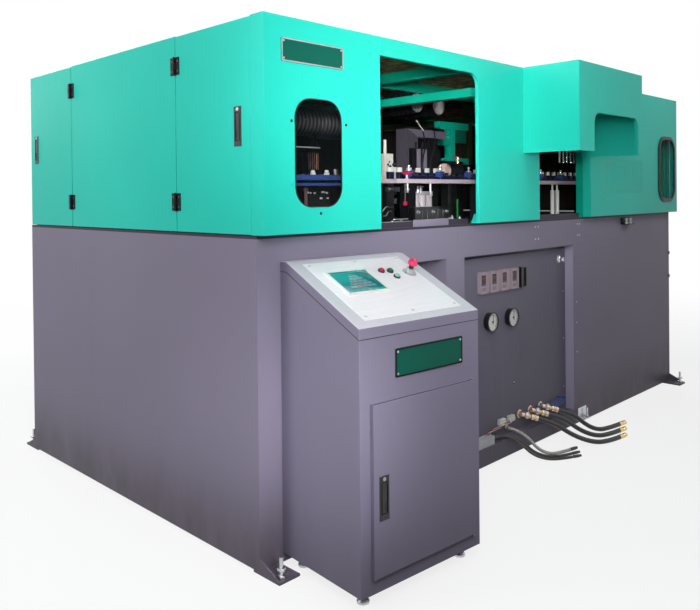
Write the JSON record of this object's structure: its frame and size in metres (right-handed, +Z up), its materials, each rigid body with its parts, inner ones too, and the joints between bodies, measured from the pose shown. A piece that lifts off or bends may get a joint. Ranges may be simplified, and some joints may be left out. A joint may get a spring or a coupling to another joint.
{
  "type": "blow moulding machine",
  "caption": "Linear stretch blow moulding machine: base cabinet, open-topped enclosure with end doors, windows and outlet hood, gauge panel and free-standing sloping control console.",
  "frame": {"origin": "on the floor, at the centre of the four anchor holes in the feet, which is the centre of the base cabinet", "axes": "+X along the machine towards the right end, +Y into the machine's depth (the operator's front faces -Y), +Z up"},
  "size_m": [4.1413, 2.7977, 2.202],
  "materials": {
    "cabinet_paint": "satin",
    "cover_paint": "semi-gloss",
    "deck_steel": "satin",
    "black_paint": "satin",
    "bright_steel": "machined",
    "plate_green": "semi-gloss",
    "window_glass": "polished",
    "seal_rubber": "matt",
    "black_plastic": "satin",
    "white_plastic": "satin",
    "silver_plastic": "satin",
    "red_plastic": "gloss",
    "green_plastic": "gloss",
    "desk_steel": "brushed",
    "gauge_chrome": "polished",
    "blue_paint": "semi-gloss",
    "brass": "turned"
  },
  "bodies": {
    "machine": {"base_cabinet": "cabinet_paint", "deck_plate": "cabinet_paint", "recess_tray": "cabinet_paint", "foot_brackets": "cabinet_paint", "console_cabinet": "cabinet_paint", "console_desk": "cabinet_paint", "cover_frame": "cover_paint", "left_front_cover": "cover_paint", "bridge_cover": "cover_paint", "right_front_cover": "cover_paint", "hood": "cover_paint", "side_and_back_covers": "cover_paint", "transfer_rail": "deck_steel", "clamp_bed": "deck_steel", "stretch_gantry": "black_paint", "lift_motors": "black_paint", "fixed_hinge_leaves": "black_paint", "levelling_feet": "bright_steel", "hose_fittings": "bright_steel", "blank_plates": "plate_green", "window_panes": "window_glass", "window_gasket": "seal_rubber", "air_duct": "seal_rubber", "supply_hose_left": "seal_rubber", "supply_hose_middle": "seal_rubber", "supply_hose_right": "seal_rubber", "button_collars": "black_plastic", "control_cable_front": "black_plastic", "control_cable_rear": "black_plastic", "instrument_modules": "white_plastic", "sheathed_cable": "white_plastic", "process_units": "white_plastic", "screen_unit": "silver_plastic", "cable_trunking": "silver_plastic", "desk_plate": "desk_steel", "gauge_cases": "gauge_chrome", "cord_ends": "brass"},
    "near_end_door": {"near_door": "cover_paint", "near_latch_case": "black_plastic"},
    "near_lever": {"near_latch_lever": "black_plastic"},
    "far_end_door": {"far_door": "cover_paint", "far_latch_case": "black_plastic"},
    "far_lever": {"far_latch_lever": "black_plastic"},
    "console_front_door": {"console_door": "cabinet_paint", "console_latch_case": "black_plastic"},
    "console_lever": {"console_latch_lever": "black_plastic"},
    "red_push": {"red_button": "red_plastic"},
    "green_push": {"green_button": "green_plastic"},
    "start_push": {"start_button": "green_plastic"},
    "stop_plunger": {"stop_stem": "black_plastic"},
    "stop_mushroom": {"stop_head": "red_plastic"},
    "needle_left": {"left_needle": "black_plastic"},
    "needle_right": {"right_needle": "black_plastic"},
    "knob": {"panel_knob": "black_plastic"},
    "mandrel_train": {"mandrel_blocks": "blue_paint", "mandrels": "bright_steel"},
    "wheel": {"chain_wheel": "blue_paint"},
    "stretcher": {"stretch_head": "bright_steel"},
    "platen_front": {"front_platen": "deck_steel"},
    "platen_rear": {"rear_platen": "deck_steel"}
  },
  "joints": [
    {"name": "near_door_hinge", "type": "hinge", "parent": "machine", "child": "near_end_door", "pos_m": [-2.0568, -0.5, 1.765], "axis": [0, 0, -1], "range_deg": [0, 110]},
    {"name": "far_door_hinge", "type": "hinge", "parent": "machine", "child": "far_end_door", "pos_m": [-2.0568, 0.53, 1.765], "axis": [0, 0, 1], "range_deg": [0, 110]},
    {"name": "near_latch_pivot", "type": "hinge", "parent": "near_end_door", "child": "near_lever", "pos_m": [-2.0485, -0.954, 1.816], "axis": [0, 1, 0], "range_deg": [0, 55]},
    {"name": "far_latch_pivot", "type": "hinge", "parent": "far_end_door", "child": "far_lever", "pos_m": [-2.0485, 0.982, 1.816], "axis": [0, 1, 0], "range_deg": [0, 55]},
    {"name": "console_door_hinge", "type": "hinge", "parent": "machine", "child": "console_front_door", "pos_m": [-1.38307, -1.61006, 0.424], "axis": [0, 0, 1], "range_deg": [0, 110]},
    {"name": "console_latch_pivot", "type": "hinge", "parent": "console_front_door", "child": "console_lever", "pos_m": [-1.87885, -1.56869, 0.443], "axis": [-0.9962, 0.0872, 0], "range_deg": [0, 55]},
    {"name": "red_push_travel", "type": "slide", "parent": "machine", "child": "red_push", "axis": [0.0378, 0.4324, -0.9009], "range_m": [0, 0.004], "stiffness_N_per_m": 300},
    {"name": "green_push_travel", "type": "slide", "parent": "machine", "child": "green_push", "axis": [0.0378, 0.4324, -0.9009], "range_m": [0, 0.004], "stiffness_N_per_m": 300},
    {"name": "start_push_travel", "type": "slide", "parent": "machine", "child": "start_push", "axis": [0.0378, 0.4324, -0.9009], "range_m": [0, 0.004], "stiffness_N_per_m": 300},
    {"name": "stop_travel", "type": "slide", "parent": "machine", "child": "stop_plunger", "axis": [0.0378, 0.4324, -0.9009], "range_m": [0, 0.006]},
    {"name": "stop_twist", "type": "hinge", "parent": "stop_plunger", "child": "stop_mushroom", "pos_m": [-1.4126, -1.32226, 1.18705], "axis": [-0.0378, -0.4324, 0.9009], "range_deg": [0, 30], "stiffness_Nm_per_rad": 0.05},
    {"name": "left_needle_swing", "type": "hinge", "parent": "machine", "child": "needle_left", "pos_m": [-0.37, -1.037, 0.773], "axis": [0, 1, 0], "range_deg": [-135, 135]},
    {"name": "right_needle_swing", "type": "hinge", "parent": "machine", "child": "needle_right", "pos_m": [-0.158, -1.037, 0.773], "axis": [0, 1, 0], "range_deg": [-135, 135]},
    {"name": "knob_turn", "type": "hinge", "parent": "machine", "child": "knob", "pos_m": [0.42, -1.025, 1.068], "axis": [0, 1, 0], "range_deg": [0, 90]},
    {"name": "train_step", "type": "slide", "parent": "machine", "child": "mandrel_train", "axis": [1, 0, 0], "range_m": [0, 0.27]},
    {"name": "wheel_turn", "type": "hinge", "parent": "machine", "child": "wheel", "pos_m": [-1.41, -0.425, 1.6], "axis": [0, 0, 1], "range_deg": [0, 36]},
    {"name": "stretch_stroke", "type": "slide", "parent": "machine", "child": "stretcher", "axis": [0, 0, -1], "range_m": [0, 0.15]},
    {"name": "front_platen_slide", "type": "slide", "parent": "machine", "child": "platen_front", "axis": [0, 1, 0], "range_m": [0, 0.11]},
    {"name": "rear_platen_slide", "type": "slide", "parent": "machine", "child": "platen_rear", "axis": [0, -1, 0], "range_m": [0, 0.11]}
  ],
  "couplings": [
    {"joint": "wheel_turn", "follows": "train_step", "rad_per_m": 2.3256},
    {"joint": "rear_platen_slide", "follows": "front_platen_slide", "ratio": 1}
  ]
}
